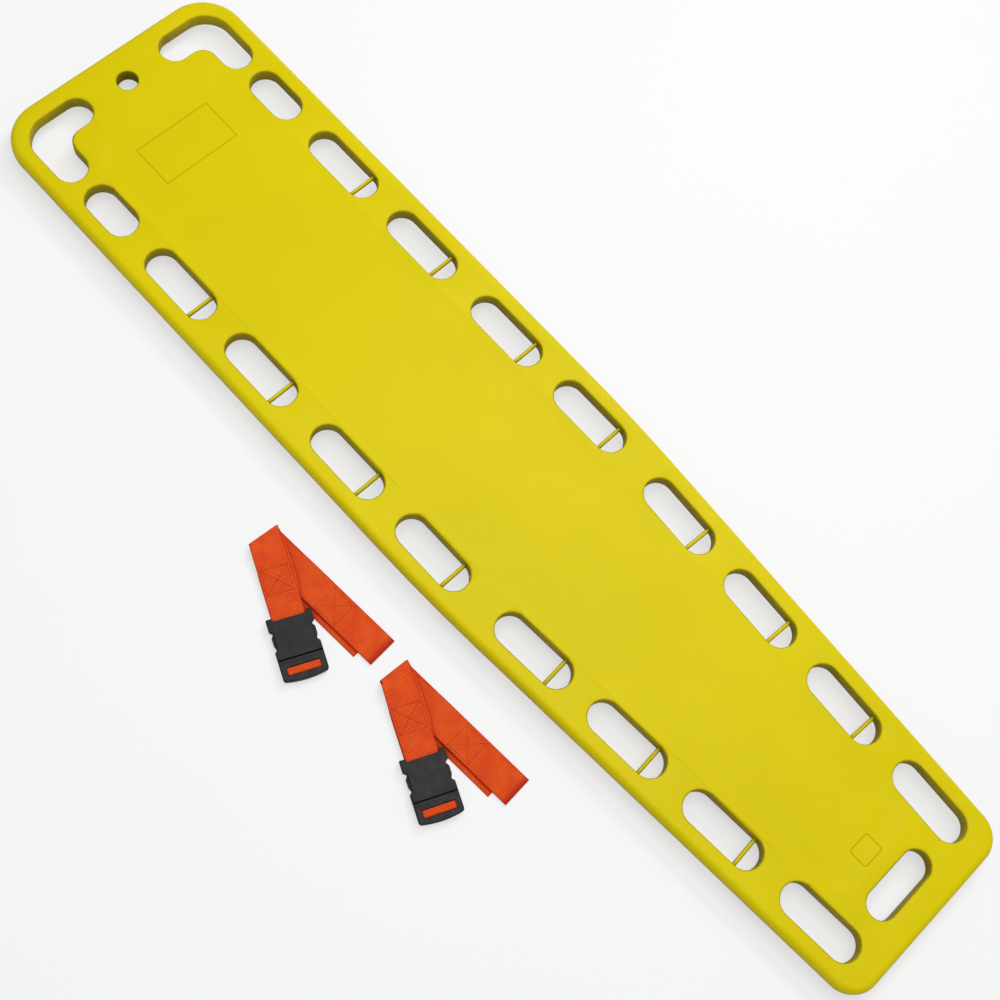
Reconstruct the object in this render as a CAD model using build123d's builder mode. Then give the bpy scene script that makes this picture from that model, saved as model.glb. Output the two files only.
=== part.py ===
from build123d import *
from math import atan2, cos, degrees, radians, sin, tan
import os

# Rescue spine board: a hollow moulded board filled with foam, strap pins across its handholds,
# and two folded patient straps with side release buckles lying beside it.
# Millimetres. X runs from the head end (-X) to the foot end (+X), Z is up,
# and the origin is the middle of the underside.

os.makedirs("parts", exist_ok=True)

# board outline
board_length = 1840.0
head_half_width = 219.5
foot_narrowing = 49.5
taper_start_share = 0.0935
head_corner_radius = 72.0
taper_bend_radius = 3200.0
foot_corner_radius = 45.0

# heights above the floor
board_thickness = 50.0
handle_thickness = 26.0
panel_depth = 2.2

# moulded walls and edges
skin = 4.0
rim_wall = 10.0
top_edge_radius = 11.0
bottom_edge_radius = 8.0

# keel under the board, which keeps fingers clear of the floor
keel_side_gap = 19.0
keel_head_gap = 150.0
keel_foot_gap = 135.0
keel_corner_radius = 32.0
keel_draft = 20.0
keel_edge_radius = 3.0
groove_width = 22.0
groove_depth = 3.0
groove_spacing = 100.0
groove_end_gap = 70.0

# sunk lying panel on the top
panel_side_gap = 8.0
panel_head_gap = 128.0
panel_foot_gap = 114.0
panel_corner_radius = 40.0
panel_draft = 82.0

# handholds
slot_width = 52.0
slot_edge_distance = 53.0
small_slot_length = 100.0
small_slot_share = -0.75326
pinned_slot_length = 140.0
pinned_slot_shares = [-0.575, -0.3717, -0.1587, 0.0467, 0.2717, 0.4728, 0.675]
large_slot_length = 138.0
large_slot_share = 0.87609
foot_slot_length = 124.0
foot_slot_width = 46.0
foot_slot_edge_gap = 45.0
slot_rim_chamfer = 3.0
slot_under_chamfer = 2.0

# corner handholds at the head end
corner_slot_width = 52.0
corner_slot_head_gap = 31.5
corner_slot_foot_gap = 155.0
corner_slot_reach = 146.5
corner_slot_inner_radius = 24.0
corner_slot_outer_radius = 46.0
round_end_flat = 0.05

# round hole at the head end
head_hole_radius = 17.0
head_hole_edge_gap = 43.0

# pins across the handholds
pin_diameter = 6.5
pin_seat_depth = 11.0
pin_fit = 0.1
pin_end_gap = 0.3
pin_block_width = 16.0
pin_block_wall = 3.0

# foam inside, and the plugs of its fill holes
foam_gap = 0.2
fill_plug_end_gap = 320.0
fill_hole_radius = 9.0
fill_flange_radius = 14.0
fill_flange_thickness = 2.0
fill_plug_fit = 0.15
fill_plug_recess = 0.5

# straps: webbing folded in a narrow V, with the buckle on one leg
webbing_width = 50.0
webbing_thickness = 1.5
layer_gap = 0.3
head_crest_x = -148.0
head_crest_gap = 109.5
foot_crest_x = 134.0
foot_crest_gap = 103.0
buckle_leg_angle = -24.5
free_leg_angle = 3.3
buckle_leg_length = 125.0
free_leg_length = 247.0
lower_leg_length = 222.0
lower_leg_shift = 9.0
tail_length = 60.0

# side release buckle, lengths measured along it from the ears
buckle_width = 68.0
buckle_thickness = 13.0
buckle_edge_radius = 1.6
buckle_fit = 0.3
bar_fit = 0.2
bar_edge_radius = 1.2

# socket half
socket_length = 64.0
ear_length = 18.0
ear_side_width = 8.5
window_waist_width = 59.0
socket_bar_start = 4.5
socket_bar_length = 5.0
socket_bar_thickness = 3.0
webbing_slot_length = 5.0
plate_start = 5.0
cavity_start = 19.0
cavity_width = 54.0
cavity_height = 7.0
window_start = 21.5
window_end = 46.0

# plug half
shoulder_length = 11.7
frame_thickness = 12.0
frame_window_length = 13.0
frame_rail_width = 8.5
frame_end_length = 6.0
frame_end_bulge = 4.0
frame_corner_radius = 5.0
frame_bar_length = 8.5
frame_bar_thickness = 3.0
frame_bar_depth = 2.8
grip_groove_width = 1.6
grip_groove_depth = 1.0
guide_width = 14.0
guide_tip = 24.0
root_block_length = 8.0

# spring prongs, drawn on the +v side of the buckle
prong_root_u = 59.5
prong_root_v = 17.0
prong_root_radius = 3.0
prong_root_fit = 0.08
prong_arm_width = 2.6
prong_arm_u = 46.0
prong_arm_v = 20.2
prong_pad_points = [(45.6, 30.5), (40.0, 32.8), (28.0, 33.0), (23.5, 30.0), (22.8, 27.0), (25.0, 24.5)]
prong_channel_width = 5.0
prong_channel_shift = 0.2

# sizes that follow
half_length = board_length / 2
foot_half_width = head_half_width - foot_narrowing
taper_start_x = half_length * taper_start_share
keel_head_x = -half_length + keel_head_gap
keel_foot_x = half_length - keel_foot_gap
panel_head_x = -half_length + panel_head_gap
panel_foot_x = half_length - panel_foot_gap
small_slot_x = half_length * small_slot_share
pinned_slot_x = [half_length * share for share in pinned_slot_shares]
large_slot_x = half_length * large_slot_share
fill_plug_x = half_length - fill_plug_end_gap
handle_bottom = board_thickness - handle_thickness
handle_middle = board_thickness - handle_thickness / 2
panel_top = board_thickness - panel_depth
cavity_top = panel_top - skin
taper_slope = (head_half_width - foot_half_width) / (half_length - taper_start_x)
taper_angle = degrees(atan2(taper_slope, 1))
foot_slot_x = half_length - foot_slot_edge_gap - foot_slot_width / 2
corner_slot_x = -half_length + corner_slot_head_gap + corner_slot_width / 2
corner_slot_y = head_half_width - slot_edge_distance
corner_slot_foot_x = -half_length + corner_slot_foot_gap
corner_slot_inner_y = head_half_width - corner_slot_reach
head_hole_x = -half_length + head_hole_edge_gap + head_hole_radius
pin_radius = pin_diameter / 2
pin_offset = pinned_slot_length / 2 - slot_width / 2
pin_length = slot_width + 2 * (pin_seat_depth - pin_end_gap)
handhold_inner_gap = slot_edge_distance + slot_width / 2
head_crest = (head_crest_x, -head_half_width - head_crest_gap)
foot_crest = (foot_crest_x, -head_half_width - foot_crest_gap)
two_layers = 2 * webbing_thickness
buckle_floor = two_layers + layer_gap
buckle_middle = buckle_floor + buckle_thickness / 2
free_leg_floor = webbing_thickness + layer_gap
fold_half_angle = radians(free_leg_angle - buckle_leg_angle) / 2
shoulder_start = socket_length + buckle_fit
frame_window_start = shoulder_start + shoulder_length
frame_bar_middle = frame_window_start + frame_window_length / 2
frame_end = frame_window_start + frame_window_length + frame_end_length
frame_opening = buckle_width - 2 * frame_rail_width
frame_bar_height = (buckle_thickness + frame_thickness) / 2 - frame_bar_depth - frame_bar_thickness / 2
loop_top = frame_bar_height + frame_bar_thickness / 2 + bar_fit + webbing_thickness
socket_bar_middle = socket_bar_start + socket_bar_length / 2
webbing_slot_end = socket_bar_start + socket_bar_length + webbing_slot_length
ear_opening = buckle_width - 2 * ear_side_width
plug_inner_height = cavity_height - 2 * buckle_fit
crest_radius = (buckle_middle + webbing_thickness - free_leg_floor) / 2


def side_half_width(x):
    """Half the board's width at x, without its rounded corners."""
    return head_half_width - max(0.0, x - taper_start_x) * taper_slope


def row_location(x, side, along=0.0):
    """A place in a row of handholds, turned to follow the side of the board."""
    angle = taper_angle if x > taper_start_x else 0.0
    inward = slot_edge_distance / cos(radians(angle))
    y = side_half_width(x) - inward
    row = Location((x, side * y, 0), (0, 0, -side * angle))
    return row * Location((along, 0, 0))


def outline_face(head_x, foot_x, inset, corner_radii):
    """The board's tapered outline between two ends, moved in from the sides."""
    head_radius, bend_radius, foot_radius = corner_radii
    half = [(head_x, head_half_width - inset), (taper_start_x, head_half_width - inset)]
    half.append((foot_x, side_half_width(foot_x) - inset))
    other = [(x, -y) for x, y in reversed(half)]
    radii = [head_radius, bend_radius, foot_radius, foot_radius, bend_radius, head_radius]
    with BuildLine() as line:
        FilletPolyline(*half, *other, radius=radii, close=True)
    make_face(line.edges())


def corner_handhold_face(side, grow):
    """The boomerang handhold that follows a head corner."""
    width = corner_slot_width + 2 * grow
    far_x = corner_slot_foot_x + grow
    near_y = corner_slot_inner_y - grow
    head_x = corner_slot_x - width / 2
    foot_x = corner_slot_x + width / 2
    outer_y = corner_slot_y + width / 2
    inner_y = corner_slot_y - width / 2
    corners = [(head_x, near_y), (head_x, outer_y), (far_x, outer_y)]
    corners += [(far_x, inner_y), (foot_x, inner_y), (foot_x, near_y)]
    end_radius = width / 2 - round_end_flat
    outer_radius = corner_slot_outer_radius + grow
    inner_radius = corner_slot_inner_radius - grow
    radii = [end_radius, outer_radius, end_radius, end_radius, inner_radius, end_radius]
    with BuildLine() as line:
        FilletPolyline(*[(x, side * y) for x, y in corners], radius=radii, close=True)
    make_face(line.edges())


def handhold_faces(grow=0.0):
    """Every handhold, each side grown by one amount."""
    for side in (1, -1):
        with Locations(row_location(small_slot_x, side)):
            SlotOverall(small_slot_length + 2 * grow, slot_width + 2 * grow)
        for x in pinned_slot_x:
            with Locations(row_location(x, side)):
                SlotOverall(pinned_slot_length + 2 * grow, slot_width + 2 * grow)
        with Locations(row_location(large_slot_x, side)):
            SlotOverall(large_slot_length + 2 * grow, slot_width + 2 * grow)
        corner_handhold_face(side, grow)
    with Locations((foot_slot_x, 0)):
        SlotOverall(foot_slot_length + 2 * grow, foot_slot_width + 2 * grow, rotation=90)


def pin_block_faces(grow):
    """The solid blocks that hold the pin ends on both sides of a handhold."""
    block_length = slot_width + 2 * (pin_seat_depth + pin_block_wall + grow)
    for side in (1, -1):
        for x in pinned_slot_x:
            with Locations(row_location(x, side, pin_offset)):
                Rectangle(pin_block_width + 2 * grow, block_length)


def hollow_solid(gap):
    """The space inside the skins, or the foam that fills it less a gap all round."""
    side = rim_wall + gap
    floor = handle_bottom + skin + gap
    keel_side = handhold_inner_gap + keel_side_gap + skin + gap
    with BuildPart() as hollow:
        with BuildSketch(Plane.XY.offset(floor)):
            radii = (head_corner_radius - side, taper_bend_radius, foot_corner_radius - side)
            outline_face(-half_length + side, half_length - side, side, radii)
        extrude(amount=cavity_top - gap - floor)
        with BuildSketch(Plane.XY.offset(floor)):
            radii = (keel_corner_radius, taper_bend_radius, keel_corner_radius)
            outline_face(keel_head_x + skin + gap, keel_foot_x - skin - gap, keel_side, radii)
        extrude(amount=groove_depth + skin + gap - floor, taper=keel_draft)
        with BuildSketch(Plane.XY.offset(floor)):
            handhold_faces(skin + gap)
            pin_block_faces(gap)
            with Locations((head_hole_x, 0)):
                Circle(head_hole_radius + skin + gap)
        extrude(amount=cavity_top - floor, mode=Mode.SUBTRACT)
    return hollow.part


def save(part, name):
    """Name one finished piece and write it."""
    part.label = name
    export_step(part, f"parts/{name}.step")


# The moulded shell: slab with rounded edges, keel, sunk panel, handholds, hollow and pin seats.
with BuildPart() as board_shell:
    with BuildSketch(Plane.XY.offset(handle_bottom)):
        radii = (head_corner_radius, taper_bend_radius, foot_corner_radius)
        outline_face(-half_length, half_length, 0.0, radii)
    extrude(amount=handle_thickness)
    fillet(board_shell.faces().sort_by(Axis.Z)[-1].edges(), radius=top_edge_radius)
    fillet(board_shell.faces().sort_by(Axis.Z)[0].edges(), radius=bottom_edge_radius)

    with BuildSketch(Plane.XY.offset(handle_bottom)):
        radii = (keel_corner_radius, taper_bend_radius, keel_corner_radius)
        outline_face(keel_head_x, keel_foot_x, handhold_inner_gap + keel_side_gap, radii)
    extrude(amount=-handle_bottom, taper=keel_draft)
    fillet(board_shell.faces().sort_by(Axis.Z)[0].edges(), radius=keel_edge_radius)

    groove_length = keel_foot_x - keel_head_x - 2 * groove_end_gap
    with BuildSketch(Plane.XY):
        with Locations(((keel_head_x + keel_foot_x) / 2, 0)):
            with GridLocations(0, groove_spacing, 1, 2):
                SlotOverall(groove_length, groove_width)
    extrude(amount=groove_depth, taper=keel_draft, mode=Mode.SUBTRACT)

    with BuildSketch(Plane.XY.offset(board_thickness)):
        radii = (panel_corner_radius, taper_bend_radius, panel_corner_radius)
        outline_face(panel_head_x, panel_foot_x, handhold_inner_gap + panel_side_gap, radii)
    extrude(amount=-panel_depth, taper=panel_draft, mode=Mode.SUBTRACT)

    with BuildSketch(Plane.XY.offset(board_thickness)):
        handhold_faces()
        with Locations((head_hole_x, 0)):
            Circle(head_hole_radius)
    extrude(amount=-handle_thickness, mode=Mode.SUBTRACT)
    rims = board_shell.edges(Select.LAST)
    upper_rims = rims.filter_by_position(Axis.Z, board_thickness, board_thickness)
    lower_rims = rims.filter_by_position(Axis.Z, handle_bottom, handle_bottom)
    chamfer(upper_rims, length=slot_rim_chamfer)
    chamfer(lower_rims, length=slot_under_chamfer)

    add(hollow_solid(0.0), mode=Mode.SUBTRACT)

    for side in (1, -1):
        for x in pinned_slot_x:
            seat = row_location(x, side, pin_offset) * Location((0, 0, handle_middle), (90, 0, 0))
            with Locations(seat):
                Cylinder(pin_radius + pin_fit, slot_width + 2 * pin_seat_depth, mode=Mode.SUBTRACT)

    with Locations((-fill_plug_x, 0, 0), (fill_plug_x, 0, 0)):
        CounterBoreHole(
            fill_hole_radius + fill_plug_fit,
            fill_flange_radius + fill_plug_fit,
            fill_flange_thickness + fill_plug_recess,
            groove_depth + skin,
        )
save(board_shell.part, "board_shell")

# The foam that fills the shell.
with BuildPart() as foam_core:
    add(hollow_solid(foam_gap))
save(foam_core.part, "foam_core")

# A pin across the foot end of each pinned handhold, held at both ends in the shell.
for side, side_name in ((1, "right"), (-1, "left")):
    for number, x in enumerate(pinned_slot_x, 1):
        seat = row_location(x, side, pin_offset) * Location((0, 0, handle_middle), (90, 0, 0))
        with BuildPart() as pin:
            with Locations(seat):
                Cylinder(pin_radius, pin_length)
        save(pin.part, f"pin_{side_name}_{number}")

# The two plugs of the foam filling holes, flush in the underside.
for place_name, x in (("head", -fill_plug_x), ("foot", fill_plug_x)):
    with BuildPart() as fill_plug:
        with BuildSketch(Plane.XY.offset(fill_plug_recess)):
            with Locations((x, 0)):
                Circle(fill_flange_radius)
        extrude(amount=fill_flange_thickness)
        with BuildSketch(Plane.XY.offset(fill_plug_recess)):
            with Locations((x, 0)):
                Circle(fill_hole_radius)
        extrude(amount=groove_depth + skin - fill_plug_recess)
    save(fill_plug.part, f"fill_plug_{place_name}")


def turned_plane(x, y, z, angle):
    """A level plane at a place, with its x axis turned by an angle in degrees."""
    direction = (cos(radians(angle)), sin(radians(angle)), 0)
    return Plane(origin=(x, y, z), x_dir=direction, z_dir=(0, 0, 1))


def leg_face(length, fold_side):
    """One leg of a folded strap from its slanted crest, 1 or -1 for the side it leans to."""
    half = webbing_width / 2
    slant = half * tan(fold_half_angle) * fold_side
    points = [(slant, half), (-slant, -half), (length, -half), (length, half)]
    with BuildLine() as line:
        Polyline(*points, close=True)
    make_face(line.edges())


def waisted_outline_face():
    """The socket from above: ears, a waist at the windows and the mouth."""
    half = buckle_width / 2
    waist = window_waist_width / 2
    edge = [(0, half), (ear_length, half), (window_start, waist), (window_end, waist)]
    edge += [(window_end + half - waist, half), (socket_length, half)]
    other = [(u, -v) for u, v in reversed(edge)]
    with BuildLine() as line:
        Polyline(*edge, *other, close=True)
    make_face(line.edges())


def frame_outline_face():
    """The plug's shoulder and frame from above, with its end bowed outward."""
    half = buckle_width / 2
    with BuildLine() as line:
        Polyline((frame_end, half), (shoulder_start, half), (shoulder_start, -half), (frame_end, -half))
        ThreePointArc((frame_end, -half), (frame_end + frame_end_bulge, 0), (frame_end, half))
    make_face(line.edges())


def prong_face(side):
    """A prong from above: round root, slim arm and the pad that is pressed."""
    half = prong_arm_width / 2
    points = [(prong_root_u, prong_root_v + half), (prong_arm_u, prong_arm_v + half)]
    points += prong_pad_points
    points += [(prong_arm_u, prong_arm_v - half), (prong_root_u, prong_root_v - half)]
    with BuildLine() as line:
        Polyline(*[(u, side * v) for u, v in points], close=True)
    make_face(line.edges())
    with Locations((prong_root_u, side * prong_root_v)):
        Circle(prong_root_radius)


def ring_face(bar_length, bar_height, grow):
    """A bar's section grown by one amount, for webbing that wraps it."""
    RectangleRounded(bar_length + 2 * grow, bar_height + 2 * grow, bar_edge_radius + grow)


def loop_face(grow, height):
    """The loop of webbing that stands round the frame's bar."""
    RectangleRounded(frame_bar_length + 2 * (bar_fit + grow), height, bar_edge_radius)


def crest_plane(x, y):
    """A plane across the rounded fold where the two legs meet."""
    angle = radians((buckle_leg_angle + free_leg_angle) / 2 + 90)
    height = free_leg_floor + crest_radius
    return Plane(origin=(x, y, height), z_dir=(cos(angle), sin(angle), 0))


# The two straps, each a folded length of webbing on both halves of a buckle.
for number, (crest_x, crest_y) in enumerate([head_crest, foot_crest], 1):
    strap = f"strap_{number}"
    leg = turned_plane(crest_x, crest_y, 0, buckle_leg_angle)
    free = turned_plane(crest_x, crest_y, free_leg_floor, free_leg_angle)
    buckle_start = leg.from_local_coords((buckle_leg_length, 0, buckle_floor))
    buckle = Plane(origin=buckle_start, x_dir=leg.x_dir, z_dir=leg.z_dir)
    across = Plane(origin=buckle_start, x_dir=leg.x_dir, z_dir=-leg.y_dir)
    inner_floor = buckle.offset((buckle_thickness - plug_inner_height) / 2)

    with BuildPart() as socket:
        with BuildSketch(buckle):
            waisted_outline_face()
        extrude(amount=buckle_thickness)
        fillet(socket.faces().sort_by(Axis.Z)[-1].edges(), radius=buckle_edge_radius)
        fillet(socket.faces().sort_by(Axis.Z)[0].edges(), radius=buckle_edge_radius)
        with BuildSketch(buckle.offset((buckle_thickness - cavity_height) / 2)):
            with Locations(((cavity_start + socket_length) / 2, 0)):
                Rectangle(socket_length - cavity_start, cavity_width)
            with Locations(((window_start + window_end) / 2, 0)):
                Rectangle(window_end - window_start, 2 * buckle_width)
        extrude(amount=cavity_height, mode=Mode.SUBTRACT)
        with BuildSketch(buckle):
            with Locations((webbing_slot_end / 2, 0)):
                Rectangle(webbing_slot_end, ear_opening)
        extrude(amount=(buckle_thickness + cavity_height) / 2, mode=Mode.SUBTRACT)
        with BuildSketch(buckle):
            with Locations((plate_start / 2, 0)):
                Rectangle(plate_start, ear_opening)
        extrude(amount=buckle_thickness, mode=Mode.SUBTRACT)
        with BuildSketch(across):
            with Locations((socket_bar_middle, buckle_thickness / 2)):
                RectangleRounded(socket_bar_length, socket_bar_thickness, bar_edge_radius)
        extrude(amount=ear_opening / 2, both=True)
    save(socket.part, f"{strap}_socket")

    with BuildPart() as plug:
        with BuildSketch(buckle.offset((buckle_thickness - frame_thickness) / 2)) as frame:
            frame_outline_face()
            fillet(frame.vertices().group_by(Axis.X)[-1], radius=frame_corner_radius)
        extrude(amount=frame_thickness)
        fillet(plug.faces().sort_by(Axis.Z)[-1].edges(), radius=buckle_edge_radius)
        fillet(plug.faces().sort_by(Axis.Z)[0].edges(), radius=buckle_edge_radius)
        with BuildSketch(buckle):
            with Locations((frame_bar_middle, 0)):
                Rectangle(frame_window_length, frame_opening)
        extrude(amount=buckle_thickness, mode=Mode.SUBTRACT)
        with BuildSketch(across):
            with Locations((frame_bar_middle, frame_bar_height)):
                RectangleRounded(frame_bar_length, frame_bar_thickness, bar_edge_radius)
        extrude(amount=frame_opening / 2, both=True)
        with BuildSketch(buckle.offset((buckle_thickness + frame_thickness) / 2)):
            with Locations((shoulder_start + shoulder_length / 2, 0)):
                Rectangle(grip_groove_width, buckle_width)
        extrude(amount=-grip_groove_depth, mode=Mode.SUBTRACT)
        with BuildSketch(inner_floor):
            with Locations(((guide_tip + shoulder_start) / 2, 0)):
                Rectangle(shoulder_start - guide_tip, guide_width)
            with Locations((shoulder_start - root_block_length / 2, 0)):
                Rectangle(root_block_length, cavity_width - 2 * buckle_fit)
        extrude(amount=plug_inner_height)
        with BuildSketch(inner_floor):
            for side in (1, -1):
                with Locations((prong_root_u, side * prong_root_v)):
                    Circle(prong_root_radius + prong_root_fit)
                channel_middle = prong_root_u - root_block_length / 2
                with Locations((channel_middle, side * (prong_root_v + prong_channel_shift))):
                    Rectangle(root_block_length, prong_channel_width)
        extrude(amount=plug_inner_height, mode=Mode.SUBTRACT)
    save(plug.part, f"{strap}_plug")

    for side, side_name in ((1, "right"), (-1, "left")):
        with BuildPart() as prong:
            with BuildSketch(inner_floor):
                prong_face(side)
            extrude(amount=plug_inner_height)
        save(prong.part, f"{strap}_prong_{side_name}")

    with BuildPart() as long_webbing:
        with BuildSketch(free):
            leg_face(free_leg_length, 1)
        extrude(amount=two_layers)
        with BuildSketch(leg.offset(buckle_middle - webbing_thickness)):
            leg_face(buckle_leg_length + socket_bar_start, -1)
        extrude(amount=two_layers)
        with BuildSketch(crest_plane(crest_x, crest_y)):
            Circle(crest_radius)
        extrude(amount=webbing_width / 2 / cos(fold_half_angle), both=True)
        with BuildSketch(across):
            with Locations((socket_bar_middle, buckle_thickness / 2)):
                ring_face(socket_bar_length, socket_bar_thickness, bar_fit + webbing_thickness)
        extrude(amount=webbing_width / 2, both=True)
        with BuildSketch(across):
            with Locations((socket_bar_middle, buckle_thickness / 2)):
                ring_face(socket_bar_length, socket_bar_thickness, bar_fit)
        extrude(amount=webbing_width / 2, both=True, mode=Mode.SUBTRACT)
    save(long_webbing.part, f"{strap}_long_webbing")

    with BuildPart() as short_webbing:
        with BuildSketch(leg):
            leg_face(buckle_leg_length + frame_bar_middle, -1)
        extrude(amount=webbing_thickness)
        lower = turned_plane(crest_x, crest_y, 0, free_leg_angle)
        lower_start = lower.from_local_coords((0, -lower_leg_shift, 0))
        with BuildSketch(turned_plane(lower_start.X, lower_start.Y, 0, free_leg_angle)):
            leg_face(lower_leg_length, 1)
        extrude(amount=webbing_thickness)
        with BuildSketch(leg.offset(webbing_thickness)):
            with Locations((buckle_leg_length + frame_bar_middle - tail_length / 2, 0)):
                Rectangle(tail_length, webbing_width)
        extrude(amount=webbing_thickness)
        with BuildSketch(across):
            with Locations((frame_bar_middle, (loop_top - buckle_floor) / 2)):
                loop_face(webbing_thickness, loop_top + buckle_floor)
        extrude(amount=webbing_width / 2, both=True)
        with BuildSketch(across):
            loop_inner_top = loop_top - webbing_thickness
            with Locations((frame_bar_middle, (loop_inner_top - layer_gap) / 2)):
                loop_face(0.0, loop_inner_top + layer_gap)
        extrude(amount=webbing_width / 2, both=True, mode=Mode.SUBTRACT)
    save(short_webbing.part, f"{strap}_short_webbing")
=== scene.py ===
# %% [markdown]
# A rescue board and two folded straps, as a lesson in cells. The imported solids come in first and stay
# where they are. Every later cell dresses one piece: a moulded shell, its pins, the folded webbing, the
# stitches and the buckles.

# %% Load the fixed frame
import math
from math import cos, radians, sin, tan

import bmesh
import bpy
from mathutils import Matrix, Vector


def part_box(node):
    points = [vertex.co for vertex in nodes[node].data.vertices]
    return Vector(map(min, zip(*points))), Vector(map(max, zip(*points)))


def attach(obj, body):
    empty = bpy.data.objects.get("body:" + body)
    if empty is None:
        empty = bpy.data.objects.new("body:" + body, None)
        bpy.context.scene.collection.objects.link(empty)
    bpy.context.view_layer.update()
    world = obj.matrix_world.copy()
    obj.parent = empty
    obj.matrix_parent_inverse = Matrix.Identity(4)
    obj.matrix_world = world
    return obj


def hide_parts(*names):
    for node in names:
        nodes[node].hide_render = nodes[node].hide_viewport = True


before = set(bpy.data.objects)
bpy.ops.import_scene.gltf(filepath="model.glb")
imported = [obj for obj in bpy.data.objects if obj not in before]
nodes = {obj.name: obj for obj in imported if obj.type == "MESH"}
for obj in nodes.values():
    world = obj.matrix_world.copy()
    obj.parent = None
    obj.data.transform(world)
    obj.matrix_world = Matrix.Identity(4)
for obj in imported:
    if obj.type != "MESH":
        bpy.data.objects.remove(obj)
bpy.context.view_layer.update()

scene = bpy.context.scene

# %% [markdown]
# The camera stands high over the board's foot half and looks down at about twenty degrees off the
# vertical. Its place and turn were worked out from where the handholds lie in the picture, so the
# render can be laid over it.

# %% Camera
camera_place = (0.35622, -0.71495, 2.09909)
camera_turn = (18.4803, -7.7871, 46.3354)
camera_lens = 52.13

camera_data = bpy.data.cameras.new("camera")
camera_data.lens = camera_lens
camera_data.sensor_width = 36.0
camera_data.sensor_fit = "HORIZONTAL"
camera_data.clip_end = 30.0
camera = bpy.data.objects.new("camera", camera_data)
camera.location = camera_place
camera.rotation_euler = [radians(a) for a in camera_turn]
scene.collection.objects.link(camera)
scene.camera = camera
scene.view_settings.view_transform = "Standard"
print("camera at", camera_place)

# %% [markdown]
# Materials are small node trees. This helper adds nodes and joins them, so that the cells below read
# as a list of what feeds what.


# %% Node tree helper
class Tree:
    """Adds shader nodes to one material and joins them."""

    def __init__(self, name):
        self.material = bpy.data.materials.new(name)
        self.material.use_nodes = True
        self.nodes = self.material.node_tree.nodes
        self.links = self.material.node_tree.links
        self.shader = self.nodes["Principled BSDF"]

    def add(self, kind, inputs=(), **settings):
        node = self.nodes.new(kind)
        for key, value in settings.items():
            setattr(node, key, value)
        for key, value in dict(inputs).items():
            if isinstance(value, bpy.types.NodeSocket):
                self.links.new(value, node.inputs[key])
            else:
                node.inputs[key].default_value = value
        return node

    def math(self, operation, a, b=0.0, c=0.0, clamp=False):
        node = self.add("ShaderNodeMath", {0: a, 1: b, 2: c}, operation=operation, use_clamp=clamp)
        return node.outputs[0]

    def noise(self, vector, scale, detail=3.0, rough=0.55):
        sizes = {"Vector": vector, "Scale": scale, "Detail": detail, "Roughness": rough}
        return self.add("ShaderNodeTexNoise", sizes).outputs["Fac"]

    def ramp(self, value, low, high, first=0.0, last=1.0, smooth=True):
        """A value carried from low..high onto first..last."""
        sizes = {"Value": value, "From Min": low, "From Max": high, "To Min": first, "To Max": last}
        kind = "SMOOTHSTEP" if smooth else "LINEAR"
        return self.add("ShaderNodeMapRange", sizes, interpolation_type=kind).outputs["Result"]

    def mix(self, factor, a, b, blend="MIX"):
        node = self.add("ShaderNodeMix", data_type="RGBA", blend_type=blend)
        for socket, value in ((node.inputs[0], factor), (node.inputs[6], a), (node.inputs[7], b)):
            if isinstance(value, bpy.types.NodeSocket):
                self.links.new(value, socket)
            else:
                socket.default_value = value
        return node.outputs[2]

    def bump(self, height, distance, strength=1.0, normal=None):
        sizes = {"Height": height, "Distance": distance, "Strength": strength}
        if normal is not None:
            sizes["Normal"] = normal
        return self.add("ShaderNodeBump", sizes).outputs["Normal"]

    def wire(self, **sockets):
        """Feeds the shader: a name's underscores stand for blanks."""
        for key, value in sockets.items():
            socket = self.shader.inputs[key.replace("_", " ")]
            if isinstance(value, bpy.types.NodeSocket):
                self.links.new(value, socket)
            else:
                socket.default_value = value
        return self.material


def paint(red, green, blue):
    """An 8 bit screen colour as the linear colour that a shader takes."""
    def linear(c):
        c = c / 255
        return c / 12.92 if c <= 0.04045 else ((c + 0.055) / 1.055) ** 2.4
    return (linear(red), linear(green), linear(blue), 1.0)


def dress(names, material):
    """Gives CAD nodes one material."""
    for name in names:
        slots = nodes[name].material_slots
        if not slots:
            nodes[name].data.materials.append(material)
        for slot in nodes[name].material_slots:
            slot.material = material


# %% [markdown]
# The shell is moulded polyethylene. Real ones are coloured through, satin, with a faint orange peel
# from the mould and small scuffs that only show in the gloss. A fine line moulded round the name
# plate's place at the head end and a small square at the foot end stay bare. They are grooves
# half a millimetre deep, so a bump that reads the board's own coordinates draws them, and their
# floor is painted a little darker as shade. Walls, rims and edges close to other surfaces get
# painted shade as well, from an ambient occlusion mask.

# %% Moulded yellow plastic
plate_middle = (-0.71375, 0.0)
plate_half = (0.03775, 0.070)
mark_middle = (0.7856, 0.0)
mark_half = (0.0155, 0.019)
groove_half_width = 0.0006


def outline_distance(tree, x, y, middle, half, corner):
    """How far a point is from the line of a rounded rectangle."""
    dx = tree.math("SUBTRACT", tree.math("ABSOLUTE", tree.math("SUBTRACT", x, middle[0])), half[0] - corner)
    dy = tree.math("SUBTRACT", tree.math("ABSOLUTE", tree.math("SUBTRACT", y, middle[1])), half[1] - corner)
    ox = tree.math("MAXIMUM", dx, 0.0)
    oy = tree.math("MAXIMUM", dy, 0.0)
    squares = tree.math("ADD", tree.math("MULTIPLY", ox, ox), tree.math("MULTIPLY", oy, oy))
    outside = tree.math("SQRT", squares)
    inside = tree.math("MINIMUM", tree.math("MAXIMUM", dx, dy), 0.0)
    signed = tree.math("SUBTRACT", tree.math("ADD", outside, inside), corner)
    return tree.math("ABSOLUTE", signed)


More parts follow.
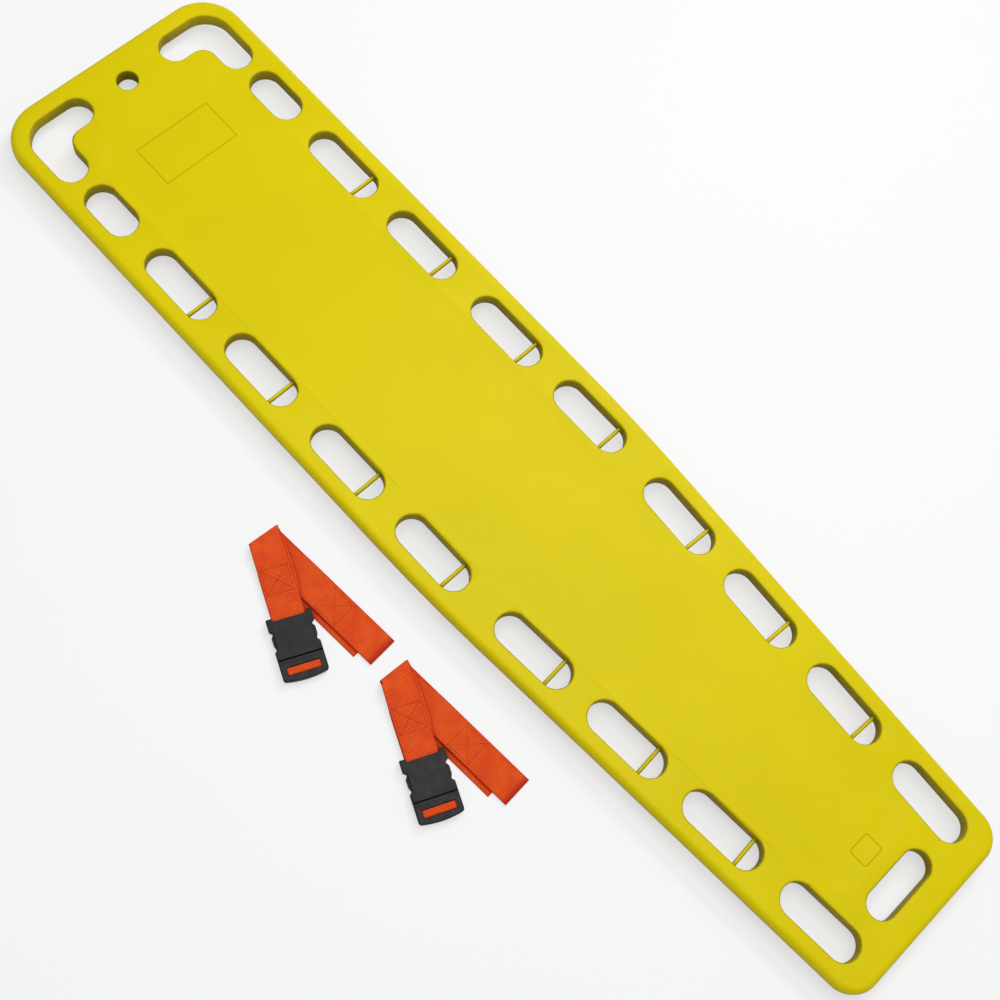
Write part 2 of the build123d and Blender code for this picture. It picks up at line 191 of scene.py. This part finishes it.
def moulded_plastic(name, colour, shade, with_marks):
    tree = Tree(name)
    place = tree.add("ShaderNodeTexCoord").outputs["Object"]
    cloudy = tree.noise(place, 5.0, 2.0)
    speckle = tree.noise(place, 420.0, 2.0)
    tint = tree.mix(tree.ramp(cloudy, 0.35, 0.65, 0.0, 0.55), colour, shade)
    tint = tree.mix(tree.ramp(speckle, 0.3, 0.7, 0.0, 0.10), tint, shade)
    drawn_out = tree.add("ShaderNodeMapping", {"Vector": place, "Scale": (6.0, 60.0, 20.0)})
    scuff = tree.noise(drawn_out.outputs[0], 6.0, 4.0)
    gloss = tree.ramp(scuff, 0.45, 0.75, 0.40, 0.55)
    peel = tree.noise(place, 260.0, 2.0)
    grain = tree.noise(place, 1500.0, 1.0)
    height = tree.math("ADD", tree.math("MULTIPLY", peel, 0.8), tree.math("MULTIPLY", grain, 0.2))
    normal = tree.bump(height, 0.00016, 0.6)
    if with_marks:
        split = tree.add("ShaderNodeSeparateXYZ", {"Vector": place})
        x, y, z = split.outputs[0], split.outputs[1], split.outputs[2]
        plate = outline_distance(tree, x, y, plate_middle, plate_half, 0.001)
        mark = outline_distance(tree, x, y, mark_middle, mark_half, 0.004)
        line = tree.math("MINIMUM", plate, mark)
        on_top = tree.math("GREATER_THAN", z, 0.046)
        depth = tree.math("MULTIPLY", tree.ramp(line, 0.0, 2 * groove_half_width, 1.0, 0.0), on_top)
        normal = tree.bump(tree.math("MULTIPLY", depth, -1.0), 0.0008, 1.0, normal)
        # Painted shade: the groove's floor is mixed towards dark olive by its depth mask.
        tint = tree.mix(tree.math("MULTIPLY", depth, 0.22), tint, paint(132, 120, 0))
    # Painted shade: where ambient occlusion finds surfaces close by, in handhold walls, under rims and
    # along the edges, the colour is mixed towards dark olive.
    nook_shade = tree.add("ShaderNodeAmbientOcclusion", {"Distance": 0.09}, samples=8).outputs["AO"]
    tint = tree.mix(tree.ramp(nook_shade, 0.40, 0.94, 0.75, 0.0), tint, paint(112, 96, 0))
    tree.shader.inputs["Specular IOR Level"].default_value = 0.10
    return tree.wire(Base_Color=tint, Roughness=gloss, Normal=normal, IOR=1.5)


board_yellow = moulded_plastic("board_yellow", paint(228, 209, 0), paint(221, 202, 0), True)
pin_yellow = moulded_plastic("pin_yellow", paint(226, 210, 20), paint(204, 188, 10), False)
plug_yellow = moulded_plastic("plug_yellow", paint(220, 204, 10), paint(206, 190, 6), False)

dress([n for n in nodes if n.startswith("pin_")], pin_yellow)
dress(["fill_plug_head", "fill_plug_foot"], plug_yellow)
print("plastics made")

# %% [markdown]
# The shell keeps its CAD shape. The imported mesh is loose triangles, so a copy of it is merged and
# shaded smooth up to an angle, and weighted normals keep its wide flat faces flat beside the roundings.


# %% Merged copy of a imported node
def merged_copy(node_name, piece_name, material, smooth_angle=50.0):
    source = nodes[node_name]
    mesh = source.data.copy()
    mesh.name = piece_name
    solid = bmesh.new()
    solid.from_mesh(mesh)
    bmesh.ops.remove_doubles(solid, verts=solid.verts, dist=2e-6)
    bmesh.ops.dissolve_degenerate(solid, edges=solid.edges, dist=1e-7)
    solid.to_mesh(mesh)
    solid.free()
    if "custom_normal" in mesh.attributes:
        mesh.attributes.remove(mesh.attributes["custom_normal"])
    mesh.materials.clear()
    mesh.materials.append(material)
    mesh.shade_smooth()
    mesh.set_sharp_from_angle(angle=radians(smooth_angle))
    piece = bpy.data.objects.new(piece_name, mesh)
    scene.collection.objects.link(piece)
    weights = piece.modifiers.new("flat faces stay flat", "WEIGHTED_NORMAL")
    weights.keep_sharp = True
    weights.weight = 100
    return piece


board_skin = merged_copy("board_shell", "moulded_board", board_yellow)
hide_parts("board_shell")
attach(board_skin, "board")
print("board faces", len(board_skin.data.polygons))

# %% [markdown]
# The foam is sealed inside the shell and never shows, but it has its own look for anyone who opens
# the model: pale, matt and full of tiny cells.

# %% Foam
foam_tree = Tree("foam_cells")
foam_place = foam_tree.add("ShaderNodeTexCoord").outputs["Object"]
foam_cells = foam_tree.add("ShaderNodeTexVoronoi", {"Vector": foam_place, "Scale": 400.0})
foam_cell = foam_cells.outputs["Distance"]
foam_tint = foam_tree.mix(foam_tree.ramp(foam_cell, 0.1, 0.6), paint(226, 216, 184), paint(244, 238, 214))
foam_tree.wire(Base_Color=foam_tint, Roughness=0.95, Normal=foam_tree.bump(foam_cell, 0.0006, 0.7))
dress(["foam_core"], foam_tree.material)

# %% [markdown]
# The webbing is heavy woven tape. Across it run fine ribs, one for each filling thread, and along it
# the warp threads make short dashes that step from rib to rib. Both are drawn from the strap's own
# flat coordinates in metres, so the weave follows every fold. Along both selvedges the colour is
# darker over the last two millimetres.

# %% Woven webbing
webbing_width = 0.050
webbing_thickness = 0.0014
rib_pitch = 0.0030
warp_pitch = 0.0013


def woven(name, colour, deep, bright):
    tree = Tree(name)
    flat = tree.add("ShaderNodeUVMap", uv_map="flat_cloth").outputs[0]
    split = tree.add("ShaderNodeSeparateXYZ", {"Vector": flat})
    across, along = split.outputs[0], split.outputs[1]
    wander = tree.noise(flat, 120.0, 2.0)
    along = tree.math("ADD", along, tree.math("MULTIPLY", tree.math("SUBTRACT", wander, 0.5), 0.0009))
    rib_turn = tree.math("MULTIPLY", along, 2 * math.pi / rib_pitch)
    rib = tree.math("MULTIPLY_ADD", tree.math("SINE", rib_turn), 0.5, 0.5)
    step = tree.math("FLOOR", tree.math("DIVIDE", along, rib_pitch))
    shift = tree.math("MULTIPLY", tree.math("MODULO", step, 2.0), warp_pitch / 2)
    warp_turn = tree.math("MULTIPLY", tree.math("ADD", across, shift), 2 * math.pi / warp_pitch)
    warp = tree.math("MULTIPLY_ADD", tree.math("SINE", warp_turn), 0.5, 0.5)
    weave = tree.math("ADD", tree.math("MULTIPLY", rib, 0.68), tree.math("MULTIPLY", warp, 0.32))
    lengthwise = tree.add("ShaderNodeMapping", {"Vector": flat, "Scale": (1.0, 0.2, 1.0)})
    fibre = tree.noise(lengthwise.outputs[0], 3200.0, 3.0)
    cloudy = tree.noise(flat, 34.0, 3.0)
    off_middle = tree.math("ABSOLUTE", across)
    edge = tree.ramp(off_middle, webbing_width / 2 - 0.0020, webbing_width / 2 - 0.0004)
    nook_shade = tree.add("ShaderNodeAmbientOcclusion", {"Distance": 0.016}, samples=8).outputs["AO"]
    tint = tree.mix(tree.ramp(weave, 0.10, 0.70), deep, colour)
    tint = tree.mix(tree.ramp(cloudy, 0.35, 0.7, 0.0, 0.35), tint, bright)
    tint = tree.mix(tree.ramp(fibre, 0.4, 0.7, 0.0, 0.20), tint, deep)
    # Darker along both edges, over the last two millimetres.
    tint = tree.mix(tree.math("MULTIPLY", edge, 0.60), tint, deep)
    # Painted shade: where ambient occlusion finds nearby surfaces, such as other layers, the buckle and the
    # floor, the tape is mixed towards deep red.
    tint = tree.mix(tree.ramp(nook_shade, 0.25, 0.95, 0.75, 0.0), tint, paint(150, 8, 8))
    # Painted shade: near the free leg's folded end the tape is mixed towards deep red.
    fold = tree.add("ShaderNodeAttribute", attribute_name="painted_fold_shade").outputs["Fac"]
    tint = tree.mix(tree.math("MULTIPLY", fold, 0.8), tint, paint(170, 14, 12))
    height = tree.math("ADD", weave, tree.math("MULTIPLY", fibre, 0.25))
    normal = tree.bump(height, 0.0006, 0.85)
    tree.shader.inputs["Specular IOR Level"].default_value = 0.15
    return tree.wire(Base_Color=tint, Roughness=0.8, Normal=normal, Sheen_Weight=0.05, Sheen_Roughness=0.5)


strap_orange = woven("strap_orange", paint(255, 96, 32), paint(192, 32, 14), paint(255, 116, 40))
print("webbing made")

# %% [markdown]
# A strap is a flat ribbon that only ever bends about straight lines, so it is built from those lines,
# called rulings. Each station holds the two ends of its ruling and how far the ruling slants. At the
# crest the rulings lie along the slanted crease, and away from it they turn back square to the ribbon.
# This keeps the cloth's length and width nearly true, and gives the weave its map.

# %% Ribbon from rulings
buckle_angle = radians(-24.5)
free_angle = radians(3.3)
crease_skew = (free_angle - buckle_angle) / 2
middle_angle = (free_angle + buckle_angle) / 2
columns = 12
# How far the painted shade before the free leg's folded end reaches.
shaded_end_length = 0.011


def level(angle):
    """A level direction at an angle from the board's long axis."""
    return Vector((cos(angle), sin(angle), 0.0))


def upright(height):
    return Vector((0.0, 0.0, height))


def ruled_ribbon(name, stations, shaded_end_share, closed=False):
    """A sheet from stations (left end, right end, skew): the two ends of each ruling, in order.
    The last argument says how far a point is into the painted shade before the fold at the far end, from 0
    to 1."""
    shape = bmesh.new()
    layer = shape.loops.layers.uv.new("flat_cloth")
    rows, run, last = [], 0.0, None
    for left, right, skew in stations:
        middle = (left + right) / 2
        run += (middle - last).length if last is not None else 0.0
        last = middle
        row = []
        for i in range(columns + 1):
            share = i / columns
            across = (share - 0.5) * webbing_width
            row.append((shape.verts.new(left.lerp(right, share)), (across, run + across * tan(skew))))
        rows.append(row)
    for a, b in zip(rows, rows[1:]):
        for i in range(columns):
            corners = (a[i], a[i + 1], b[i + 1], b[i])
            face = shape.faces.new([c[0] for c in corners])
            for loop, corner in zip(face.loops, corners):
                loop[layer].uv = corner[1]
    if closed:
        bmesh.ops.remove_doubles(shape, verts=shape.verts, dist=1e-6)
    mesh = bpy.data.meshes.new(name)
    shape.to_mesh(mesh)
    shape.free()
    mesh.materials.append(strap_orange)
    mesh.shade_smooth()
    # Painted shade: each point stores how far into the darkened stretch before the far fold it lies.
    shade_layer = mesh.attributes.new("painted_fold_shade", "FLOAT", "POINT")
    shade_layer.data.foreach_set("value", [shaded_end_share(v.co) for v in mesh.vertices])
    piece = bpy.data.objects.new(name, mesh)
    scene.collection.objects.link(piece)
    body = piece.modifiers.new("tape thickness", "SOLIDIFY")
    body.thickness = webbing_thickness
    body.offset = 0.0
    edge = piece.modifiers.new("soft selvedge", "BEVEL")
    edge.width = 0.0004
    edge.segments = 2
    edge.limit_method = "ANGLE"
    edge.angle_limit = radians(60)
    return piece, run


# %% [markdown]
# The photograph shows each strap as a narrow V. One leg runs from the buckle up to the crest, folds
# over and runs back under itself to a far end that is folded too. Two layers lie on each other, the
# inner one a little nearer to the inside of the V, so that its edge shows along both legs. At the
# crest the fold is pinched tight at its pointed corner and stays round at the other one, which makes
# the fold a cone instead of a cylinder.

# %% Strap sizes and places
crest_places = [(-0.148, -0.329), (0.134, -0.3225)]
buckle_leg_length = 0.125
free_leg_length = 0.247
lower_leg_length = 0.222
lower_leg_shift = 0.009
layer_pitch = 0.0015
buckle_floor = 0.0033
buckle_half_height = 0.0065
buckle_middle = buckle_floor + buckle_half_height
socket_bar_at = buckle_leg_length + 0.0078
socket_bar_top = 0.00265
top_height = buckle_middle + layer_pitch / 2
second_height = buckle_middle - layer_pitch / 2
free_second_height = 0.00405
free_bottom_height = 0.00255
fold_radius = 0.0040
fold_cone = 0.0030
inner_fold_cone = 0.00175
fold_angle = radians(94.0)
fold_relax_length = 0.040
slant_start = 0.010
slant_length = 0.055
inner_fold_inset = 0.018


def smooth(t):
    t = min(max(t, 0.0), 1.0)
    return t * t * (3 - 2 * t)


def ruling(middle, side, direction, skew, tilt=0.0):
    """The two ends of a ruling across a leg, slanted by skew and tilted up at its left end."""
    half = (side - direction * tan(skew)) * (webbing_width / 2)
    return middle - half - upright(tilt), middle + half + upright(tilt)


def leg(base, angle, travel, lengths, height, shift=0.0, tilt=0.0):
    """Stations along a leg. base is on the crease; height, shift and tilt are functions of the
    distance from it, or plain numbers; travel is 1 from the buckle's leg to the free leg, else -1."""
    def at(value, u):
        return value(u) if callable(value) else value
    direction, side = level(angle), level(angle + math.pi / 2)
    slant = fold_angle - angle - math.pi / 2
    out = []
    for u in lengths:
        skew = slant * (1 - smooth((u - slant_start) / slant_length))
        middle = base + direction * u + side * at(shift, u) + upright(at(height, u))
        run_skew = skew * travel if angle == buckle_angle else -skew * travel
        out.append((*ruling(middle, side, direction, skew, at(tilt, u)), run_skew))
    return out


def crease(base, bottom, radius, cone, travel, steps=18):
    """Stations round the slanted fold, from the upper leg down to the lower one if travel is 1."""
    outward = -level(middle_angle)
    half = level(fold_angle) * (webbing_width / 2 / cos(crease_skew))
    upper_skew = fold_angle - buckle_angle - math.pi / 2
    lower_skew = -(fold_angle - free_angle - math.pi / 2)
    out = []
    for i in range(1, steps):
        share = i / steps if travel > 0 else 1 - i / steps
        turn = math.pi * share
        ends = []
        for end in (-1, 1):
            r = radius - cone * end
            ends.append(base + half * end + outward * (r * sin(turn)) + upright(bottom + r + r * cos(turn)))
        out.append((ends[0], ends[1], travel * (upper_skew + (lower_skew - upper_skew) * share)))
    return out


def spread(first, last, count):
    return [first + (last - first) * i / (count - 1) for i in range(count)]


# %% The long webbing of each strap
def socket_wrap(base, steps=12):
    """Round the socket's bar, from the top layer down to the second one."""
    direction, side = level(buckle_angle), level(buckle_angle + math.pi / 2)
    u = socket_bar_at
    out = []
    for i in range(steps + 1):
        turn = math.pi * i / steps
        middle = base + direction * (u + socket_bar_top * sin(turn))
        middle = middle + upright(buckle_middle + socket_bar_top * cos(turn))
        out.append((*ruling(middle, side, direction, 0.0), 0.0))
    return out


def long_webbing(number, crest):
    outer = Vector((crest[0], crest[1], 0.0))
    inner = outer + level(middle_angle) * inner_fold_inset
    inner_shift = inner_fold_inset * sin(crease_skew)
    leg_end = socket_bar_at - 0.0005
    inner_start = inner_fold_inset * cos(crease_skew)

    def top(u):
        return top_height + (buckle_middle + socket_bar_top - top_height) * smooth((u - 0.108) / 0.020)

    def second(u):
        u = u + inner_start
        drop = second_height - buckle_middle + socket_bar_top
        return second_height - drop * smooth((u - 0.112) / 0.016)

    def cone_tilt(u):
        return -2 * fold_cone * (1 - smooth(u / fold_relax_length))

    def back_to_middle(u):
        return -inner_shift * smooth((u + inner_start - 0.075) / 0.045)

    def free_to_middle(u):
        return inner_shift * smooth(u / 0.060)

    free_end_inner = free_leg_length - inner_start
    stations = leg(outer, free_angle, -1, spread(free_leg_length, 0.0, 46), free_bottom_height)
    stations += crease(outer, free_bottom_height, fold_radius, fold_cone, -1)
    stations += leg(outer, buckle_angle, -1, spread(0.0, leg_end, 46), top, 0.0, cone_tilt)
    stations += socket_wrap(outer)
    stations += leg(inner, buckle_angle, 1, spread(leg_end - inner_start, 0.0, 42), second,
                    back_to_middle, lambda u: cone_tilt(u + inner_start))
    stations += crease(inner, free_second_height, fold_radius - layer_pitch, inner_fold_cone, 1)
    stations += leg(inner, free_angle, 1, spread(0.0, free_end_inner, 46), free_second_height,
                    free_to_middle)
    direction, side = level(free_angle), level(free_angle + math.pi / 2)
    turn_radius = (free_second_height - free_bottom_height) / 2
    for i in range(1, 6):
        turn = math.pi * i / 6
        middle = outer + direction * (free_leg_length + turn_radius * sin(turn))
        middle = middle + upright(free_bottom_height + turn_radius + turn_radius * cos(turn))
        stations.append((*ruling(middle, side, direction, 0.0), 0.0))
    stations.append(stations[0])

    # Painted shade: 0 along the free leg, rising to 1 over the last stretch before its folded end.
    def shaded_end_share(point):
        along = (point - outer).dot(direction)
        return smooth((along - free_leg_length + shaded_end_length) / shaded_end_length)

    piece, run = ruled_ribbon(f"strap_{number}_folded_webbing", stations, shaded_end_share, closed=True)
    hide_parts(f"strap_{number}_long_webbing")
    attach(piece, f"strap_{number}")
    print(piece.name, "length", round(run, 4), "stations", len(stations))
    return piece, run


# %% [markdown]
# The plug's own webbing runs under everything. Its tail is turned round the bar in the plug's frame,
# where it shows as a flat orange field, and its other end peeks out along the inner side of the free
# leg and stops short of the far end.

# %% The short webbing of each strap
frame_bar_middle = 0.0825
frame_bar_half = 0.00445
tail_length = 0.060
corner_radius = 0.0012
plug_fold_inset = 0.006
plug_leg_start = 0.0058


def short_webbing(number, crest):
    base = Vector((crest[0], crest[1], 0.0))
    low, high = layer_pitch / 2, layer_pitch * 1.5
    bar_at = buckle_leg_length + frame_bar_middle
    loop_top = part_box(f"strap_{number}_short_webbing")[1].z - layer_pitch / 2
    direction, side = level(buckle_angle), level(buckle_angle + math.pi / 2)
    bend = corner_radius
    half = frame_bar_half + layer_pitch / 2

    def corner(u, z, first, last, steps=5):
        out = []
        for i in range(steps + 1):
            turn = first + (last - first) * i / steps
            middle = base + direction * (u + bend * cos(turn)) + upright(z + bend * sin(turn))
            out.append((*ruling(middle, side, direction, 0.0), 0.0))
        return out

    def climb(u):
        return low + (high - low) * (1 - smooth((u - 0.02) / 0.06))

    def lower_shift(u):
        return -(lower_leg_shift - layer_pitch) * smooth(u / 0.060)

    fold = base + level(middle_angle) * plug_fold_inset
    stations = leg(base, buckle_angle, -1, spread(bar_at - tail_length, bar_at - half - bend, 16), high)
    stations += corner(bar_at - half - bend, high + bend, -math.pi / 2, 0.0)[1:]
    stations += corner(bar_at - half + bend, loop_top - bend, math.pi, math.pi / 2)
    stations += corner(bar_at + half - bend, loop_top - bend, math.pi / 2, 0.0)
    stations += corner(bar_at + half - bend, low + bend, 0.0, -math.pi / 2)
    stations += leg(fold, buckle_angle, 1, spread(bar_at - plug_leg_start, 0.0, 60)[1:], climb,
                    lambda u: -layer_pitch * smooth(u / 0.06))
    stations += crease(fold, low, layer_pitch / 2, 0.0, 1, 8)
    stations += leg(fold, free_angle, 1, spread(0.0, lower_leg_length - plug_leg_start, 44), low,
                    lower_shift)
    piece, run = ruled_ribbon(f"strap_{number}_plug_webbing", stations, lambda point: 0.0)
    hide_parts(f"strap_{number}_short_webbing")
    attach(piece, f"strap_{number}_plug")
    print(piece.name, "length", round(run, 4), "stations", len(stations))
    return piece


folded_webbing = [long_webbing(number, crest) for number, crest in enumerate(crest_places, 1)]
for number, crest in enumerate(crest_places, 1):
    short_webbing(number, crest)

# %% [markdown]
# Each leg is sewn through in a box with a cross in it, the usual seam on load carrying straps. The
# seam's lines are plain edges that lie on the cloth. A node tree turns them into curves, sets a point
# at each stitch, puts a small thread segment there along the line, and ends in one real mesh.

# %% Stitch tree
stitch_pitch = 0.0042
stitch_length = 0.0030
thread_thickness = 0.0009


def new_socket(tree, name, kind, value=None, output=False):
    socket = tree.interface.new_socket(name, in_out="OUTPUT" if output else "INPUT", socket_type=kind)
    if value is not None:
        socket.default_value = value
    return socket


def stitch_tree(thread):
    tree = bpy.data.node_groups.new("box_stitch", "GeometryNodeTree")
    new_socket(tree, "Seam lines", "NodeSocketGeometry")
    new_socket(tree, "Stitch pitch", "NodeSocketFloat", stitch_pitch)
    new_socket(tree, "Stitch length", "NodeSocketFloat", stitch_length)
    new_socket(tree, "Thread thickness", "NodeSocketFloat", thread_thickness)
    new_socket(tree, "Stitches", "NodeSocketGeometry", output=True)

    def node(kind, **settings):
        made = tree.nodes.new(kind)
        for key, value in settings.items():
            setattr(made, key, value)
        return made

    def join(a, b):
        tree.links.new(a, b)

    start, end = node("NodeGroupInput"), node("NodeGroupOutput")
    curve = node("GeometryNodeMeshToCurve")
    points = node("GeometryNodeResampleCurve", mode="LENGTH")
    segment = node("GeometryNodeMeshUVSphere")
    segment.inputs["Segments"].default_value = 8
    segment.inputs["Rings"].default_value = 5
    segment.inputs["Radius"].default_value = 0.5
    place = node("GeometryNodeInstanceOnPoints")
    along = node("GeometryNodeInputTangent")
    turn = node("FunctionNodeAlignRotationToVector", axis="X")
    size = node("ShaderNodeCombineXYZ")
    wobble = node("FunctionNodeRandomValue", data_type="FLOAT")
    wobble.inputs[2].default_value = 0.85
    wobble.inputs[3].default_value = 1.12
    wobble.inputs["Seed"].default_value = 7
    stretch = node("ShaderNodeMath", operation="MULTIPLY")
    real = node("GeometryNodeRealizeInstances")
    paint_it = node("GeometryNodeSetMaterial")
    paint_it.inputs["Material"].default_value = thread
    join(start.outputs["Seam lines"], curve.inputs["Mesh"])
    join(curve.outputs["Curve"], points.inputs["Curve"])
    join(start.outputs["Stitch pitch"], points.inputs["Length"])
    join(points.outputs["Curve"], place.inputs["Points"])
    join(segment.outputs["Mesh"], place.inputs["Instance"])
    join(along.outputs["Tangent"], turn.inputs["Vector"])
    join(turn.outputs["Rotation"], place.inputs["Rotation"])
    join(start.outputs["Stitch length"], stretch.inputs[0])
    join(wobble.outputs[1], stretch.inputs[1])
    join(stretch.outputs[0], size.inputs[0])
    join(start.outputs["Thread thickness"], size.inputs[1])
    join(start.outputs["Thread thickness"], size.inputs[2])
    join(size.outputs[0], place.inputs["Scale"])
    join(place.outputs["Instances"], real.inputs["Geometry"])
    join(real.outputs["Geometry"], paint_it.inputs["Geometry"])
    join(paint_it.outputs["Geometry"], end.inputs["Stitches"])
    return tree


def thread_material():
    tree = Tree("stitch_thread")
    place = tree.add("ShaderNodeTexCoord").outputs["Object"]
    twist = tree.noise(place, 2600.0, 2.0)
    tint = tree.mix(tree.ramp(twist, 0.3, 0.7), paint(150, 22, 10), paint(196, 44, 18))
    return tree.wire(Base_Color=tint, Roughness=0.7, Normal=tree.bump(twist, 0.0002, 0.6))


sewing_thread = thread_material()
box_stitch = stitch_tree(sewing_thread)

# %% Sewn boxes on both legs
stitch_box_length = 0.040
stitch_box_half_width = 0.0205
buckle_leg_box_start = 0.050
free_leg_box_start = 0.128
stitch_lift = 0.0001


def seam_lines(start):
    """The lines of a box with a cross, in a leg's own (u, v)."""
    a, b, v = start, start + stitch_box_length, stitch_box_half_width
    return [((a, -v), (a, v)), ((b, -v), (b, v)), ((a, -v), (b, -v)), ((a, v), (b, v)),
            ((a, -v), (b, v)), ((a, v), (b, -v))]


def sewn_boxes(number, crest):
    """The stitches of one strap: a box on each leg, lying on the cloth's top."""
    base = Vector((crest[0], crest[1], 0.0))
    lift = webbing_thickness / 2 + stitch_lift
    legs = [(buckle_angle, buckle_leg_box_start, top_height + lift),
            (free_angle, free_leg_box_start, free_second_height + lift)]
    verts, edges = [], []
    for angle, start, height in legs:
        direction, side = level(angle), level(angle + math.pi / 2)
        for (u0, v0), (u1, v1) in seam_lines(start):
            first = len(verts)
            verts.append(base + direction * u0 + side * v0 + upright(height))
            verts.append(base + direction * u1 + side * v1 + upright(height))
            edges.append((first, first + 1))
    mesh = bpy.data.meshes.new("seam_lines")
    mesh.from_pydata(verts, edges, [])
    lines = bpy.data.objects.new("seam_lines", mesh)
    scene.collection.objects.link(lines)
    sewing = lines.modifiers.new("sewing", "NODES")
    sewing.node_group = box_stitch
    sockets = [i for i in box_stitch.interface.items_tree if i.in_out == "INPUT"]
    identifiers = {i.name: i.identifier for i in sockets}
    sewing[identifiers["Stitch pitch"]] = stitch_pitch
    sewing[identifiers["Stitch length"]] = stitch_length
    sewing[identifiers["Thread thickness"]] = thread_thickness
    bpy.context.view_layer.update()
    evaluated = lines.evaluated_get(bpy.context.evaluated_depsgraph_get())
    sewn = bpy.data.meshes.new_from_object(evaluated)
    sewn.shade_smooth()
    bpy.data.objects.remove(lines)
    piece = bpy.data.objects.new(f"strap_{number}_stitches", sewn)
    scene.collection.objects.link(piece)
    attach(piece, f"strap_{number}")
    print(piece.name, "faces", len(sewn.polygons))
    return piece


for number, crest in enumerate(crest_places, 1):
    webbing, run = folded_webbing[number - 1]
    stitches = sewn_boxes(number, crest)


# %% [markdown]
# The buckles are glass filled nylon: near black, satin, with the fine spark texture of their mould.
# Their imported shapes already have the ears, the waist, the prongs and the frame.

# %% Black buckle plastic
def buckle_plastic():
    tree = Tree("buckle_black")
    place = tree.add("ShaderNodeTexCoord").outputs["Object"]
    spark = tree.noise(place, 1900.0, 2.0)
    cloudy = tree.noise(place, 60.0, 3.0)
    tint = tree.mix(tree.ramp(cloudy, 0.35, 0.65), paint(15, 15, 16), paint(21, 21, 22))
    gloss = tree.ramp(cloudy, 0.3, 0.7, 0.38, 0.50)
    normal = tree.bump(spark, 0.00010, 0.6)
    tree.shader.inputs["Specular IOR Level"].default_value = 0.22
    return tree.wire(Base_Color=tint, Roughness=gloss, Normal=normal, IOR=1.52)


buckle_black = buckle_plastic()
dress([n for n in nodes if n.endswith(("_socket", "_plug")) and n.startswith("strap_")], buckle_black)
dress([n for n in nodes if "_prong_" in n], buckle_black)
print("buckles dressed")

# %% [markdown]
# The board lies on a white studio floor. Its shader answers the camera with some plain white, so the
# floor stays pale while soft shadows still show, and gives every other ray its true colour. A wide
# soft light hangs overhead, and a smaller one stands beyond the far side, so that the walls of the
# handholds that face the camera fall into shade.

# %% Floor and light
camera_white_share = 0.60
floor_drop = 0.0002
room_strength = 0.34


def white_floor():
    tree = Tree("studio_floor")
    place = tree.add("ShaderNodeTexCoord").outputs["Object"]
    haze = tree.noise(place, 3.0, 2.0)
    tint = tree.mix(tree.ramp(haze, 0.3, 0.7, 0.0, 0.3), (0.93, 0.93, 0.935, 1), (0.91, 0.91, 0.92, 1))
    tree.wire(Base_Color=tint, Roughness=0.9)
    tree.shader.inputs["Specular IOR Level"].default_value = 0.1
    seen = tree.add("ShaderNodeLightPath").outputs["Is Camera Ray"]
    glow = tree.add("ShaderNodeEmission", {"Color": (1, 1, 1, 1), "Strength": 1.0})
    part = tree.math("MULTIPLY", seen, camera_white_share)
    both = tree.add("ShaderNodeMixShader", {0: part, 1: tree.shader.outputs[0], 2: glow.outputs[0]})
    tree.links.new(both.outputs[0], tree.nodes["Material Output"].inputs["Surface"])
    return tree.material


bpy.ops.mesh.primitive_plane_add(size=14.0, location=(0, 0, -floor_drop))
floor = bpy.context.object
floor.name = "studio_floor"
floor.data.materials.append(white_floor())

world = bpy.data.worlds.new("soft_room")
world.use_nodes = True
world.node_tree.nodes["Background"].inputs["Color"].default_value = (0.97, 0.98, 1.0, 1)
world.node_tree.nodes["Background"].inputs["Strength"].default_value = room_strength
scene.world = world


def area_light(name, place, target, size, power):
    data = bpy.data.lights.new(name, "AREA")
    data.shape = "DISK"
    data.size = size
    data.energy = power
    lamp = bpy.data.objects.new(name, data)
    lamp.location = place
    lamp.rotation_euler = (Vector(target) - Vector(place)).to_track_quat("-Z", "Y").to_euler()
    scene.collection.objects.link(lamp)
    return lamp


board_middle = (0.0, 0.0, 0.0)
area_light("overhead_softbox", (0.1, 0.2, 3.4), board_middle, 2.4, 52.0)
area_light("key_softbox", (-0.5, 2.0, 2.8), board_middle, 1.2, 34.0)
print("floor and light ready")
